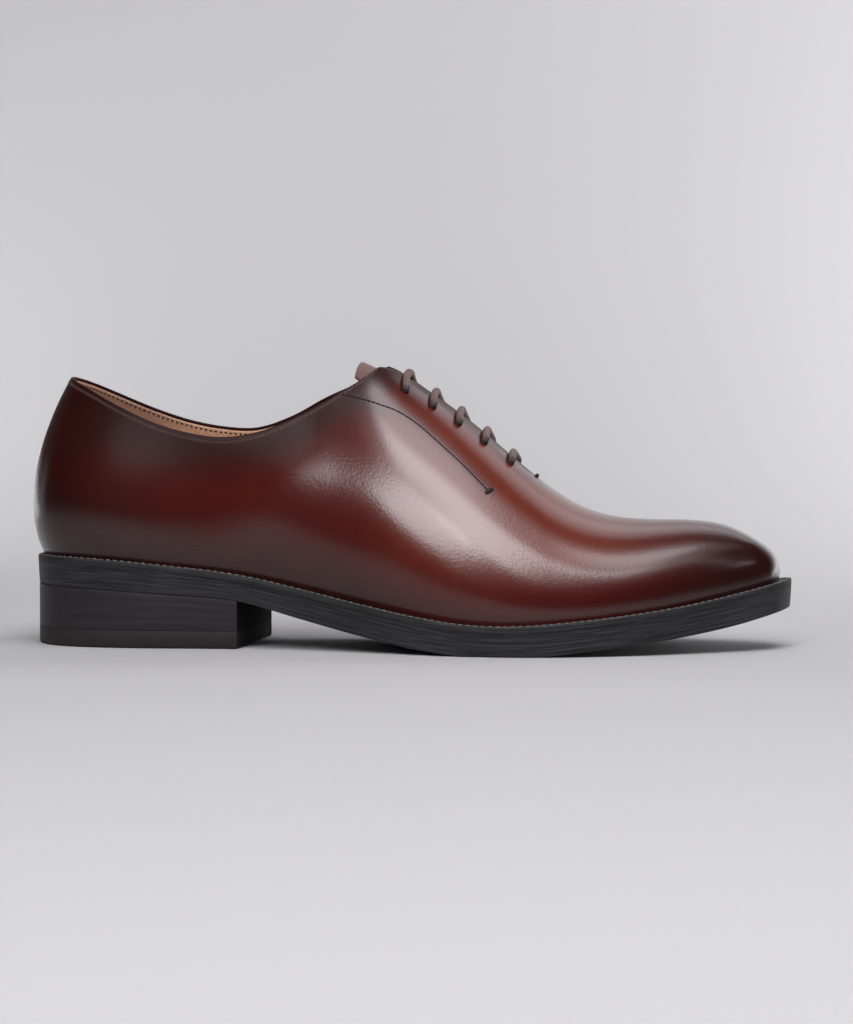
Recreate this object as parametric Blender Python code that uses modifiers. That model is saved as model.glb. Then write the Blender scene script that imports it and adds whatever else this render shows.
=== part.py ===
"""Right-foot plain-toe oxford: lasted upper, tongue, insole, welt, sole, heel and lace bars.

Sizes are in millimetres. X runs from heel to toe, Y to the inner side of the foot, Z up.
"""
import bmesh
import bpy
import numpy as np
from mathutils import Matrix, Vector

MM = 0.001
OBJECT_NAME = "oxford_shoe"

# Overall fit
GAP = 0.3
WALL = 2.0
SHIFT_X = -151.4
SHIFT_Y = 3.4

# Sole and heel
WELT_THICK = 3.2
LIFT_THICK = 7.0
HEEL_BREAST = 90.0
HEEL_INSET = 0.2
EDGE_BEVEL = 0.9
INSOLE_RISE = 2.2

# Throat, tongue and laces
THROAT_END = 203.0
EYELET_X = (153.6, 164.6, 174.9, 185.2, 195.7)
EYELET_FROM_EDGE = 12.0
LACE_RADIUS = 1.35
LACE_SINK = 1.5
BAR_LEAD = -1.0
BAR_STEPS = (0.35, 0.55, 0.78, 1.0)
TONGUE_THICK = 1.6
TONGUE_LOW = 208.0
TONGUE_TOP = 151.0
TONGUE_RISE = 13.8
TONGUE_TIP_WIDTH = 0.70
TONGUE_TIP_LAYBACK = 0.23
TONGUE_HALF_LOW = 17.0
TONGUE_HALF_TOP = 18.0

# Mesh density
COLUMNS_PER_ROW = 3
WALL_ROWS = 12

# Last: one row per section from the heel back to the toe tip. The sole columns are the plan
# outline, the rim columns the line where each section ends above (collar side, then ridge).
LAST_COLUMNS = ("sole_x", "sole_out", "sole_in", "margin", "rim_x", "rim_out", "rim_in",
                "rim_z_out", "rim_z_in", "flare", "lean", "tilt", "low", "high")
LAST_ROWS = (
    (0.0, 0.0, 0.0, 2.4, 16.5, 0.0, 0.0, 113.0, 113.0, 27, 33, 0.0, 0.33, 0.30),
    (4.5, -16.0, 16.0, 2.5, 18.5, -9.5, 9.5, 112.0, 112.0, 25, 29, 0.0, 0.33, 0.30),
    (15.0, -27.5, 27.5, 2.8, 25.0, -18.0, 18.0, 109.0, 109.5, 22, 22, 0.0, 0.33, 0.31),
    (33.0, -34.0, 34.0, 3.0, 40.0, -24.5, 24.5, 101.0, 102.0, 20, 15, 0.0, 0.33, 0.32),
    (60.0, -35.2, 35.0, 3.2, 63.0, -28.5, 28.0, 91.0, 94.0, 18, 11, 0.0, 0.33, 0.33),
    (88.0, -34.0, 33.3, 3.4, 87.0, -30.0, 29.5, 88.0, 93.0, 18, 12, 0.0, 0.33, 0.33),
    (114.0, -37.0, 30.5, 3.8, 111.0, -26.0, 25.5, 96.5, 104.5, 17, 24, 0.0, 0.33, 0.30),
    (137.0, -43.5, 31.0, 4.2, 132.0, -14.0, 17.0, 108.0, 112.5, 16, 48, 0.0, 0.33, 0.28),
    (153.0, -48.5, 34.5, 4.5, 145.0, -4.0, 9.4, 112.0, 112.6, 15, 65, -0.2, 0.33, 0.28),
    (168.0, -53.0, 39.5, 4.7, 159.0, 0.8, 4.6, 104.2, 104.2, 14, 76, -0.6, 0.33, 0.28),
    (190.0, -56.8, 46.5, 4.8, 180.0, 1.7, 3.4, 89.0, 89.0, 13, 82, -0.75, 0.33, 0.29),
    (214.0, -55.6, 50.0, 4.9, 203.0, 2.6, 2.6, 69.6, 69.6, 11, 90, -0.80, 0.33, 0.32),
    (238.0, -49.2, 48.0, 5.0, 225.0, 2.6, 2.6, 55.4, 55.4, 9, 90, -0.45, 0.34, 0.40),
    (260.0, -40.0, 42.0, 5.0, 246.0, 3.0, 3.0, 51.2, 51.2, 8, 90, -0.08, 0.36, 0.47),
    (279.0, -29.8, 34.4, 5.0, 262.0, 3.4, 3.4, 50.9, 50.9, 8, 90, 0.0, 0.37, 0.48),
    (293.2, -20.3, 27.5, 5.0, 274.0, 3.9, 3.9, 50.1, 50.1, 7, 90, -0.17, 0.38, 0.49),
    (302.0, -11.5, 20.3, 4.9, 281.0, 4.2, 4.2, 48.6, 48.6, 7, 90, -0.40, 0.41, 0.53),
    (306.4, 4.4, 4.4, 4.8, 284.0, 4.4, 4.4, 47.4, 47.4, 7, 90, -0.50, 0.42, 0.55),
)

# Side profile of the sole: height of the tread and of the welt top along the length
PROFILE_COLUMNS = ("x", "tread", "welt")
PROFILE_ROWS = (
    (0.0, 24.6, 36.3),
    (30.0, 23.3, 35.3),
    (60.0, 21.4, 32.8),
    (90.0, 18.9, 29.2),
    (115.0, 12.6, 24.1),
    (140.0, 6.7, 18.8),
    (165.0, 1.9, 14.2),
    (182.0, -0.1, 12.0),
    (195.0, -0.5, 11.5),
    (210.0, -0.1, 12.0),
    (225.0, 1.5, 13.3),
    (245.0, 3.8, 15.6),
    (265.0, 6.9, 18.6),
    (285.0, 10.9, 22.8),
    (307.0, 16.9, 28.1),
)

# Collar line seen from the side, lower on the outer side of the ankle
COLLAR_COLUMNS = ("x", "outer", "inner")
COLLAR_ROWS = (
    (10.0, 110.8, 110.8),
    (14.0, 109.0, 109.0),
    (25.0, 104.0, 103.8),
    (40.0, 96.3, 97.2),
    (55.0, 89.6, 92.0),
    (70.0, 85.4, 88.9),
    (85.0, 83.8, 88.4),
    (100.0, 86.5, 93.3),
    (115.0, 93.3, 101.0),
    (130.0, 102.4, 107.0),
    (138.0, 108.2, 110.0),
    (142.0, 112.0, 112.5),
    (146.0, 118.0, 118.0),
    (160.0, 140.0, 140.0),
)

COLOURS = {
    "upper": (0.075, 0.022, 0.016),
    "tongue": (0.12, 0.05, 0.035),
    "insole": (0.36, 0.20, 0.11),
    "welt": (0.012, 0.011, 0.011),
    "outsole": (0.015, 0.014, 0.014),
    "heel_stack": (0.014, 0.013, 0.013),
    "heel_top_lift": (0.02, 0.019, 0.019),
    "lace": (0.11, 0.08, 0.07),
}


def clear_scene():
    """Remove whatever objects the file starts with."""
    for item in list(bpy.data.objects):
        bpy.data.objects.remove(item, do_unlink=True)


def hermite(knots, values, slopes, t):
    """Cubic pieces through the knots with given slopes: value and rate of change at t."""
    i = np.clip(np.searchsorted(knots, t, side="right") - 1, 0, len(knots) - 2)
    h = (knots[i + 1] - knots[i])[:, None]
    f = (t - knots[i])[:, None] / h
    a, b = values[i], values[i + 1]
    p, q = slopes[i] * h, slopes[i + 1] * h
    bend = 3 * (b - a) - 2 * p - q
    twist = 2 * (a - b) + p + q
    point = a + f * (p + f * (bend + f * twist))
    return point, (p + f * (2 * bend + 3 * f * twist)) / h


def line_table(rows, x):
    """Smooth curves through a table whose first column is x."""
    table = np.array(rows, float)
    knots, values = table[:, 0], table[:, 1:]
    slopes = np.gradient(values, knots, axis=0)
    x = np.asarray(x, float)
    return hermite(knots, values, slopes, np.clip(x.ravel(), knots[0], knots[-1]))[0]


def tread_height(x):
    """Height of the underside of the sole, held at the floor under the ball."""
    return np.maximum(line_table(PROFILE_ROWS, x)[:, 0], 0.0).reshape(np.shape(x))


def welt_height(x):
    """Height of the top of the welt."""
    return line_table(PROFILE_ROWS, x)[:, 1].reshape(np.shape(x))


def loop_slopes(knots, values):
    """Slopes of the smoothest closed curve through the values."""
    step = np.diff(knots)
    count = len(step)
    inverse = 1.0 / step
    matrix = np.zeros((count, count))
    for i in range(count):
        matrix[i, i - 1] = inverse[i - 1]
        matrix[i, i] = 2 * (inverse[i - 1] + inverse[i])
        matrix[i, (i + 1) % count] = inverse[i]
    rate = np.diff(values, axis=0) * (inverse ** 2)[:, None]
    slopes = np.linalg.solve(matrix, 3 * (rate + np.roll(rate, 1, axis=0)))
    return np.vstack([slopes, slopes[:1]])


def last_loop():
    """Closed loop of sections: outer side heel to toe, then inner side back to the heel."""
    table = np.array(LAST_ROWS, float)
    name = {label: i for i, label in enumerate(LAST_COLUMNS)}
    shared = ["sole_x", "margin", "rim_x", "flare", "lean", "tilt", "low", "high"]
    sides = []
    for y, rim_y, rim_z in (("sole_out", "rim_out", "rim_z_out"), ("sole_in", "rim_in", "rim_z_in")):
        columns = shared + [y, rim_y, rim_z]
        sides.append(table[:, [name[label] for label in columns]])
    outer, inner = sides
    step = 0.0
    for side in sides:
        plan = side[:, [0, 8]]
        step = step + 0.5 * np.sqrt(np.hypot(*np.diff(plan, axis=0).T))
    along = np.concatenate([[0.0], np.cumsum(step)])
    knots = np.concatenate([along, 2 * along[-1] - along[-2::-1]])
    values = np.vstack([outer, inner[-2:0:-1], outer[:1]])
    return knots, values, along


KNOTS, VALUES, ALONG = last_loop()
SLOPES = loop_slopes(KNOTS, VALUES)
TOE = ALONG[-1]


def outline(t, inset):
    """Plan outline of the sole moved inwards, and its outward direction."""
    value, speed = hermite(KNOTS, VALUES, SLOPES, np.asarray(t, float))
    tangent = speed[:, [0, 8]]
    tangent = tangent / np.linalg.norm(tangent, axis=1)[:, None]
    outward = np.stack([tangent[:, 1], -tangent[:, 0]], 1)
    plan = value[:, [0, 8]] - outward * np.reshape(inset, (-1, 1))
    return plan, outward, value


def ribs(t):
    """Four control points of each wall section, from the feather edge to the rim line."""
    plan, outward, value = outline(t, 0.0)
    margin, rim_x, flare, lean, tilt, low, high = value[:, 1:8].T
    foot_plan = plan - outward * margin[:, None]
    foot = np.column_stack([foot_plan, welt_height(foot_plan[:, 0]) + GAP])
    rim = np.column_stack([rim_x, value[:, 9], value[:, 10]])
    reach = np.linalg.norm(rim - foot, axis=1)[:, None]
    flare = np.radians(flare)[:, None]
    lean = np.radians(np.clip(lean, 0, 90))[:, None]
    rising = np.hstack([outward * np.sin(flare), np.cos(flare)])
    drop = (tilt * outward[:, 0])[:, None] * np.sin(lean) - np.cos(lean)
    falling = np.hstack([outward * np.sin(lean), drop])
    falling = falling / np.linalg.norm(falling, axis=1)[:, None]
    return foot, foot + rising * reach * low[:, None], rim + falling * reach * high[:, None], rim


def wall(t, v):
    """Point of the outer face of the upper at loop place t and height share v."""
    a, b, c, d = ribs(np.atleast_1d(t))
    v = np.reshape(v, (-1, 1))
    w = 1 - v
    return w ** 3 * a + 3 * w * w * v * b + 3 * w * v * v * c + v ** 3 * d


def wall_normal(t, v):
    """Outward direction of the outer face."""
    e = 1e-3
    v = np.clip(v, e, 1 - e)
    along = wall(t + e, v) - wall(t - e, v)
    up = wall(t, v + e) - wall(t, v - e)
    normal = np.cross(along, up)
    return normal / np.linalg.norm(normal, axis=1)[:, None]


def collar_share(t):
    """Height share at which each section meets the collar line; 1 where it ends below it."""
    side = np.where(np.asarray(t) > TOE, 1, 0)
    low = np.full(len(t), 0.3)
    high = np.ones(len(t))
    for _ in range(40):
        middle = 0.5 * (low + high)
        point = wall(t, middle)
        line = line_table(COLLAR_ROWS, point[:, 0])[np.arange(len(t)), side]
        above = point[:, 2] > line
        high = np.where(above, middle, high)
        low = np.where(above, low, middle)
    return high


def place_at_ridge(x):
    """Loop place, on the outer side, of the section that ends at length x of the ridge."""
    t = np.linspace(ALONG[6], TOE, 600)
    return np.interp(x, hermite(KNOTS, VALUES, SLOPES, t)[0][:, 2], t)


def share_below_rim(t, distance):
    """Height share of the point a given distance down the wall from the rim line."""
    _, _, c, d = ribs(t)
    return 1 - distance / (3 * np.linalg.norm(c - d, axis=1))


def side_places(per_row):
    """Loop places of the outer side, evenly spread between the table rows."""
    places = [np.linspace(a, b, per_row, endpoint=False) for a, b in zip(ALONG[:-1], ALONG[1:])]
    return np.concatenate(places + [[TOE]])


def new_mesh(name, points, faces):
    """Mesh object from millimetre points, moved to the object's frame."""
    moved = (np.asarray(points, float) + (SHIFT_X, SHIFT_Y, 0.0)) * MM
    mesh = bpy.data.meshes.new(name)
    mesh.from_pydata([tuple(p) for p in moved], [], [tuple(int(i) for i in f) for f in faces])
    mesh.update()
    return bpy.data.objects.new(name, mesh)


def finish(item, collection, colour):
    """Give a piece its material and put it with the others."""
    material = bpy.data.materials.new(item.name + "_material")
    material.use_nodes = True
    shader = material.node_tree.nodes["Principled BSDF"]
    shader.inputs["Base Color"].default_value = (*colour, 1.0)
    shader.inputs["Roughness"].default_value = 0.5
    item.data.materials.append(material)
    collection.objects.link(item)
    return item


def thicken(item, thickness):
    """Solidify an open sheet inwards from its outer face."""
    modifier = item.modifiers.new("wall", "SOLIDIFY")
    modifier.thickness = thickness * MM
    modifier.offset = -1.0
    modifier.use_even_offset = True
    modifier.use_quality_normals = True


def outward_faces(item):
    """Turn every face of a closed mesh outwards."""
    shape = bmesh.new()
    shape.from_mesh(item.data)
    bmesh.ops.recalc_face_normals(shape, faces=shape.faces)
    shape.to_mesh(item.data)
    shape.free()


def slab(name, rings):
    """Closed body through stacked rings of paired outer and inner side points.

    Each ring is a pair of arrays with one row per place; the first place is shared.
    """
    points = []
    index = []
    for outer, inner in rings:
        start = len(points)
        closed_end = np.allclose(outer[-1], inner[-1])
        count = len(outer)
        points.extend(outer)
        left = list(range(start, start + count))
        right = [left[0]]
        stop = count - 1 if closed_end else count
        for i in range(1, stop):
            right.append(len(points))
            points.append(inner[i])
        if closed_end:
            right.append(left[-1])
        index.append((left, right))
    faces = []
    for (left_a, right_a), (left_b, right_b) in zip(index[:-1], index[1:]):
        for a, b in ((left_a, left_b), (right_a, right_b)):
            for i in range(len(a) - 1):
                faces.append((a[i], a[i + 1], b[i + 1], b[i]))
        if left_a[-1] != right_a[-1]:
            faces.append((left_a[-1], right_a[-1], right_b[-1], left_b[-1]))
    for left, right in (index[0], index[-1]):
        for i in range(len(left) - 1):
            corners = [left[i], left[i + 1], right[i + 1], right[i]]
            faces.append(list(dict.fromkeys(corners)))
    item = new_mesh(name, points, faces)
    outward_faces(item)
    return item


def ring(t, inset, height):
    """One ring of a slab: the outline of both sides at an inset, lifted by a height function."""
    sides = []
    for place in (t, 2 * TOE - t):
        value = outline(place, 0.0)[2]
        step = value[:, 1] * inset[0] + inset[1]
        plan = outline(place, step)[0]
        sides.append(np.column_stack([plan, height(plan[:, 0])]))
    return sides


def make_outsole(t):
    """Leather sole with arch, toe spring and a bevelled lower edge."""
    top = lambda x: welt_height(x) - WELT_THICK - GAP
    rings = [
        ring(t, (0, EDGE_BEVEL), tread_height),
        ring(t, (0, 0), lambda x: tread_height(x) + EDGE_BEVEL),
        ring(t, (0, 0), top),
    ]
    return slab("outsole", rings)


def make_welt(t):
    """Flat strip round the whole shoe between the sole and the foot of the upper."""
    loop = np.concatenate([t, 2 * TOE - t[-2:0:-1]])
    margin = outline(loop, 0.0)[2][:, 1]
    layers = []
    low = lambda x: welt_height(x) - WELT_THICK
    for inset, height in ((margin + WALL, low), (0 * margin, low), (0 * margin, welt_height),
                          (margin + WALL, welt_height)):
        plan = outline(loop, inset)[0]
        layers.append(np.column_stack([plan, height(plan[:, 0])]))
    count = len(loop)
    faces = []
    for a in range(4):
        b = (a + 1) % 4
        for i in range(count):
            j = (i + 1) % count
            faces.append((a * count + i, a * count + j, b * count + j, b * count + i))
    item = new_mesh("welt", np.vstack(layers), faces)
    outward_faces(item)
    return item


def make_insole(t):
    """Footbed inside the welt, level with the lower wall of the upper."""
    low = lambda x: welt_height(x) - WELT_THICK
    high = lambda x: welt_height(x) + INSOLE_RISE
    inset = (1, WALL + GAP + 0.1)
    return slab("insole", [ring(t, inset, low), ring(t, inset, high)])


def heel_ring(inset, height):
    """Ring of the heel, cut square at the breast."""
    fine = np.linspace(0, TOE, 800)
    end = np.interp(HEEL_BREAST, outline(fine, 0.0)[0][:, 0], fine)
    t = np.linspace(0, end, 19)
    outer, inner = ring(t, (0, inset), height)
    for side in (outer, inner):
        side[-1, 0] = HEEL_BREAST
        side[-1, 2] = height(side[-1:, 0])[0]
    return outer, inner


def make_heel():
    """Stacked heel and the rubber top lift below it."""
    flat = lambda z: lambda x: np.full(np.shape(x), z)
    roof = lambda x: tread_height(x) - GAP
    stack = slab("heel_stack", [heel_ring(HEEL_INSET, flat(LIFT_THICK + GAP)), heel_ring(HEEL_INSET, roof)])
    lift = slab("heel_top_lift", [
        heel_ring(HEEL_INSET + EDGE_BEVEL, flat(0.0)),
        heel_ring(HEEL_INSET, flat(EDGE_BEVEL)),
        heel_ring(HEEL_INSET, flat(LIFT_THICK)),
    ])
    return stack, lift


def make_upper(t):
    """Lasted wall open at collar and throat; both sides share the ridge beyond the throat."""
    loop = np.concatenate([t, 2 * TOE - t[-2:0:-1]])
    count = len(loop)
    share = collar_share(loop)
    rows = [wall(loop, share * j / WALL_ROWS) for j in range(WALL_ROWS + 1)]
    joined = place_at_ridge(THROAT_END) - 0.01
    top = np.arange(count) + WALL_ROWS * count
    for i in range(len(t), count):
        mirror = count - i
        if t[mirror] >= joined:
            top[i] = top[mirror]
    faces = []
    for j in range(WALL_ROWS):
        for i in range(count):
            k = (i + 1) % count
            high = (top[i], top[k]) if j == WALL_ROWS - 1 else ((j + 1) * count + i, (j + 1) * count + k)
            faces.append((j * count + i, j * count + k, high[1], high[0]))
    points = np.vstack(rows)
    used = np.unique(np.array([i for f in faces for i in f]))
    renumber = np.full(len(points), -1)
    renumber[used] = np.arange(len(used))
    item = new_mesh("upper", points[used], [[renumber[i] for i in f] for f in faces])
    thicken(item, WALL)
    return item


def eyelet_frames():
    """Place and outward direction of each eyelet, outer side then inner side."""
    search = np.linspace(ALONG[7], ALONG[12], 400)
    frames = []
    for inner in (False, True):
        t = 2 * TOE - search if inner else search
        line = wall(t, share_below_rim(t, EYELET_FROM_EDGE))[:, 0]
        place = np.interp(EYELET_X, line, t)
        v = share_below_rim(place, EYELET_FROM_EDGE)
        frames.append((place, v, wall(place, v), wall_normal(place, v)))
    return frames


def cut_eyelets(upper, frames, cutters):
    """Punch the lace holes through the facings."""
    shape = bmesh.new()
    for _, _, points, normals in frames:
        for point, normal in zip(points, normals):
            turn = Vector(normal).to_track_quat("Z", "Y").to_matrix().to_4x4()
            centre = (Vector(point) + Vector((SHIFT_X, SHIFT_Y, 0))) * MM
            bmesh.ops.create_cone(
                shape, cap_ends=True, segments=12, depth=9 * MM,
                radius1=(LACE_RADIUS + GAP) * MM, radius2=(LACE_RADIUS + GAP) * MM,
                matrix=Matrix.Translation(centre) @ turn)
    mesh = bpy.data.meshes.new("eyelet_cutter")
    shape.to_mesh(mesh)
    shape.free()
    cutter = bpy.data.objects.new("eyelet_cutter", mesh)
    cutter.hide_render = True
    cutter.display_type = "WIRE"
    cutters.objects.link(cutter)
    modifier = upper.modifiers.new("eyelets", "BOOLEAN")
    modifier.operation = "DIFFERENCE"
    modifier.solver = "EXACT"
    modifier.object = cutter


def lace_path(k, frames):
    """Path of one bar: out of the outer eyelet, over both facings, into the inner eyelet."""
    lift = LACE_RADIUS + GAP
    ridge = place_at_ridge(EYELET_X[k] + BAR_LEAD)
    halves = []
    for side, (place, v, points, normals) in enumerate(frames):
        end = 2 * TOE - ridge if side else ridge
        t = np.array([place[k] + (end - place[k]) * share for share in BAR_STEPS])
        height = np.array([v[k] + (1 - v[k]) * share for share in BAR_STEPS])
        over = wall(t, height) + wall_normal(t, height) * lift
        start, up = points[k], normals[k]
        ahead = over[0] - start
        ahead = ahead - up * (ahead @ up)
        ahead = ahead / np.linalg.norm(ahead)
        half = [start - up * LACE_SINK, start - up * 0.5 * LACE_SINK]
        for angle in np.linspace(0, np.pi / 2, 5):
            half.append(start + up * lift * np.sin(angle) + ahead * lift * (1 - np.cos(angle)))
        halves.append(half + list(over))
    return np.array(halves[0] + halves[1][::-1])


def make_lace(k, frames):
    """Round lace bar as a bevelled curve with filled ends."""
    path = (lace_path(k, frames) + (SHIFT_X, SHIFT_Y, 0.0)) * MM
    curve = bpy.data.curves.new("lace_bar_%d" % (k + 1), "CURVE")
    curve.dimensions = "3D"
    curve.bevel_depth = LACE_RADIUS * MM
    curve.bevel_resolution = 2
    curve.use_fill_caps = True
    spline = curve.splines.new("POLY")
    spline.points.add(len(path) - 1)
    for point, place in zip(spline.points, path):
        point.co = (*place, 1.0)
    return bpy.data.objects.new("lace_bar_%d" % (k + 1), curve)


def make_tongue():
    """Thin leather tongue under the facings, its end rising past their tops."""
    x = np.linspace(TONGUE_TOP, TONGUE_LOW, 12)
    t = place_at_ridge(x)
    half = np.interp(x, (TONGUE_TOP, TONGUE_LOW), (TONGUE_HALF_TOP, TONGUE_HALF_LOW))
    columns = []
    for place, shares in ((t, (1.0, 0.8, 0.6, 0.4, 0.2, 0.09)), (2 * TOE - t, (0.09, 0.2, 0.4, 0.6, 0.8, 1.0))):
        for share in shares:
            v = share_below_rim(place, half * share)
            columns.append(wall(place, v) - wall_normal(place, v) * (WALL + GAP + 0.15))
    grid = np.stack(columns, 1)
    width = len(columns)
    centre = grid[:2, width // 2 - 1:width // 2 + 1].mean(axis=1)
    climb = centre[0] - centre[1]
    climb = climb / np.linalg.norm(climb) + (-TONGUE_TIP_LAYBACK, 0.0, 0.0)
    extra = []
    for f in (1.0, 0.66, 0.33):
        squeeze = 1 - (1 - TONGUE_TIP_WIDTH) * f
        extra.append(centre[0] + (grid[0] - centre[0]) * squeeze + climb * TONGUE_RISE * f)
    grid = np.concatenate([np.stack(extra), grid])
    height = len(grid)
    faces = []
    for j in range(height - 1):
        for i in range(width - 1):
            a = j * width + i
            faces.append((a, a + width, a + width + 1, a + 1))
    item = new_mesh("tongue", grid.reshape(-1, 3), faces)
    thicken(item, TONGUE_THICK)
    return item


def build():
    """Make every piece in one frame."""
    clear_scene()
    parts = bpy.data.collections.new(OBJECT_NAME)
    cutters = bpy.data.collections.new("cutters")
    bpy.context.scene.collection.children.link(parts)
    bpy.context.scene.collection.children.link(cutters)
    t = side_places(COLUMNS_PER_ROW)
    frames = eyelet_frames()
    upper = finish(make_upper(t), parts, COLOURS["upper"])
    cut_eyelets(upper, frames, cutters)
    finish(make_tongue(), parts, COLOURS["tongue"])
    finish(make_insole(t), parts, COLOURS["insole"])
    finish(make_welt(t), parts, COLOURS["welt"])
    finish(make_outsole(t), parts, COLOURS["outsole"])
    stack, lift = make_heel()
    finish(stack, parts, COLOURS["heel_stack"])
    finish(lift, parts, COLOURS["heel_top_lift"])
    for k in range(len(EYELET_X)):
        finish(make_lace(k, frames), parts, COLOURS["lace"])


build()
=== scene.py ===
"""Right oxford shoe in burnished red-brown calf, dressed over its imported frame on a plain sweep."""
import math

import bmesh
import bpy
import numpy as np
from mathutils import Matrix, Vector


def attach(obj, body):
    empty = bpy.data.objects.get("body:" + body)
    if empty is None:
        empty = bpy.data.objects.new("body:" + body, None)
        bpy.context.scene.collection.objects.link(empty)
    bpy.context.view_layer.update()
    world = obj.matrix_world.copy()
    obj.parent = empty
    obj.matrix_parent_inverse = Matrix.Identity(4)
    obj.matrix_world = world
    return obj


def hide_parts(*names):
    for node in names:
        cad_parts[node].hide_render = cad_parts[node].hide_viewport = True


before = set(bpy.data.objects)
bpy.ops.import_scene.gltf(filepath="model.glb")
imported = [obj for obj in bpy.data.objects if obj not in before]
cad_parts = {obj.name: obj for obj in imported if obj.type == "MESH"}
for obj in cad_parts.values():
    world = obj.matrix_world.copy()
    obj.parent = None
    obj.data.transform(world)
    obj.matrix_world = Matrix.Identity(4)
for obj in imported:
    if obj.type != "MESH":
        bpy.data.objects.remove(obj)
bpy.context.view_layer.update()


# Camera
# A short telephoto on a low stand, a little under the height of the collar, square on the outer
# side of the shoe and dipped slightly to take in the floor.
CAMERA_PLACE = (0.13774, -0.91046, 0.0766)
CAMERA_TURN = math.radians(8.0)
CAMERA_DIP = math.radians(1.43)
CAMERA_LENS = 80.37


def put(name, data):
    """New object with its data, in the scene."""
    item = bpy.data.objects.new(name, data)
    bpy.context.scene.collection.objects.link(item)
    return item


camera = put("camera", bpy.data.cameras.new("camera"))
camera.data.lens = CAMERA_LENS
camera.location = CAMERA_PLACE
camera.rotation_euler = (math.pi / 2 - CAMERA_DIP, 0.0, CAMERA_TURN)
bpy.context.scene.camera = camera


# Paper sweep and studio lights
# Seamless pale paper that runs from the floor up behind the shoe in one bend. A key softbox hangs in
# front and overhead with a dim skirt round it, a card and a small top light carry its reflection on,
# narrow lamps mark toe and heel, and a scrim and two washes light the paper.
SWEEP_WIDTH = 6.0
SWEEP_FRONT = -1.9
SWEEP_BACK = 0.7
SWEEP_BEND = 1.4
SWEEP_TOP = 2.6
PAPER_LIGHT = (0.428, 0.4275, 0.429, 1.0)
PAPER_DARK = (0.41516, 0.414675, 0.41613, 1.0)
LAMP_TINT = (1.0, 0.985, 1.02)
STUDIO_DIM = (0.012, 0.012, 0.013, 1.0)


class Value:
    """A node's output with plain arithmetic: each sum on it is a Math node in its own tree."""

    def __init__(self, socket):
        self.socket = socket
        self.tree = socket.id_data

    def __add__(self, other):
        return calc("ADD", self, other)

    def __sub__(self, other):
        return calc("SUBTRACT", self, other)

    def __rsub__(self, other):
        return calc("SUBTRACT", other, self)

    def __mul__(self, other):
        return calc("MULTIPLY", self, other)


def feed(node, inputs):
    """Set each input, by name or number, to a plain value, or link it to a node's output."""
    for name, value in inputs.items():
        if isinstance(value, Value):
            node.id_data.links.new(value.socket, node.inputs[name])
        else:
            node.inputs[name].default_value = value


def add_node(tree, kind, inputs, **settings):
    """Add a node with its settings and inputs; returns its outputs in order."""
    node = tree.nodes.new(kind)
    for name, value in settings.items():
        setattr(node, name, value)
    feed(node, inputs)
    return [Value(socket) for socket in node.outputs]


def calc(operation, a, b=0.0):
    """One sum on two values or numbers, at least one of them a node's output."""
    tree = a.tree if isinstance(a, Value) else b.tree
    return add_node(tree, "ShaderNodeMath", {0: a, 1: b}, operation=operation)[0]


def fade(value, start, end):
    """Smooth step from 0 where the value is at start to 1 where it is at end."""
    inputs = {"Value": value, "From Min": start, "From Max": end}
    return add_node(value.tree, "ShaderNodeMapRange", inputs, interpolation_type="SMOOTHSTEP")[0]


def mix_colours(share, a, b):
    """Colour between a and b by the share."""
    return add_node(share.tree, "ShaderNodeMix", {0: share, 6: a, 7: b}, data_type="RGBA")[2]


def noise(place, scale, detail=2.0, roughness=0.5):
    """Cloud noise value at a scale per unit of place."""
    inputs = {"Vector": place, "Scale": scale, "Detail": detail, "Roughness": roughness}
    return add_node(place.tree, "ShaderNodeTexNoise", inputs)[0]


def new_material(name):
    """Material with a fresh node tree, its Principled shader and its Object coordinates."""
    material = bpy.data.materials.new(name)
    material.use_nodes = True
    nodes = material.node_tree.nodes
    place = Value(nodes.new("ShaderNodeTexCoord").outputs["Object"])
    return material, nodes["Principled BSDF"], place


def paper_material():
    """Matt pale paper with a very slight cloudiness."""
    material, shader, place = new_material("sweep_paper")
    colour = mix_colours(noise(place, 1.5), PAPER_DARK, PAPER_LIGHT)
    feed(shader, {"Base Color": colour, "Roughness": 0.85, "Specular IOR Level": 0.2})
    return material


def grid_faces(rows, columns, closed=False):
    """Quads of a grid laid row by row, joined round the columns when closed."""
    across = columns if closed else columns - 1
    j, i = np.meshgrid(np.arange(rows - 1), np.arange(across), indexing="ij")
    k = (i + 1) % columns
    low, high = j * columns, (j + 1) * columns
    return np.stack([low + i, low + k, high + k, high + i], -1).reshape(-1, 4)


def smooth_mesh(name, points, faces, material):
    """Mesh of points in metres and faces, shaded smooth, in one material."""
    mesh = bpy.data.meshes.new(name)
    mesh.from_pydata(points.tolist(), [], faces)
    mesh.polygons.foreach_set("use_smooth", np.ones(len(mesh.polygons), bool))
    mesh.materials.append(material)
    return mesh


def make_sweep():
    """Straight floor, quarter circle and straight wall, carried across the width."""
    bend = np.linspace(0, math.pi / 2, 25)
    arc = np.column_stack([SWEEP_BACK + SWEEP_BEND * np.sin(bend), SWEEP_BEND * (1 - np.cos(bend))])
    line = np.vstack([[SWEEP_FRONT, 0.0], arc, [SWEEP_BACK + SWEEP_BEND, SWEEP_TOP]])
    x = np.tile(np.array([-0.5, 0.5]) * SWEEP_WIDTH, len(line))
    points = np.column_stack([x, np.repeat(line, 2, axis=0)])
    faces = grid_faces(len(line), 2).tolist()
    sweep = put("paper_sweep", smooth_mesh("paper_sweep", points, faces, paper_material()))


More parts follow.
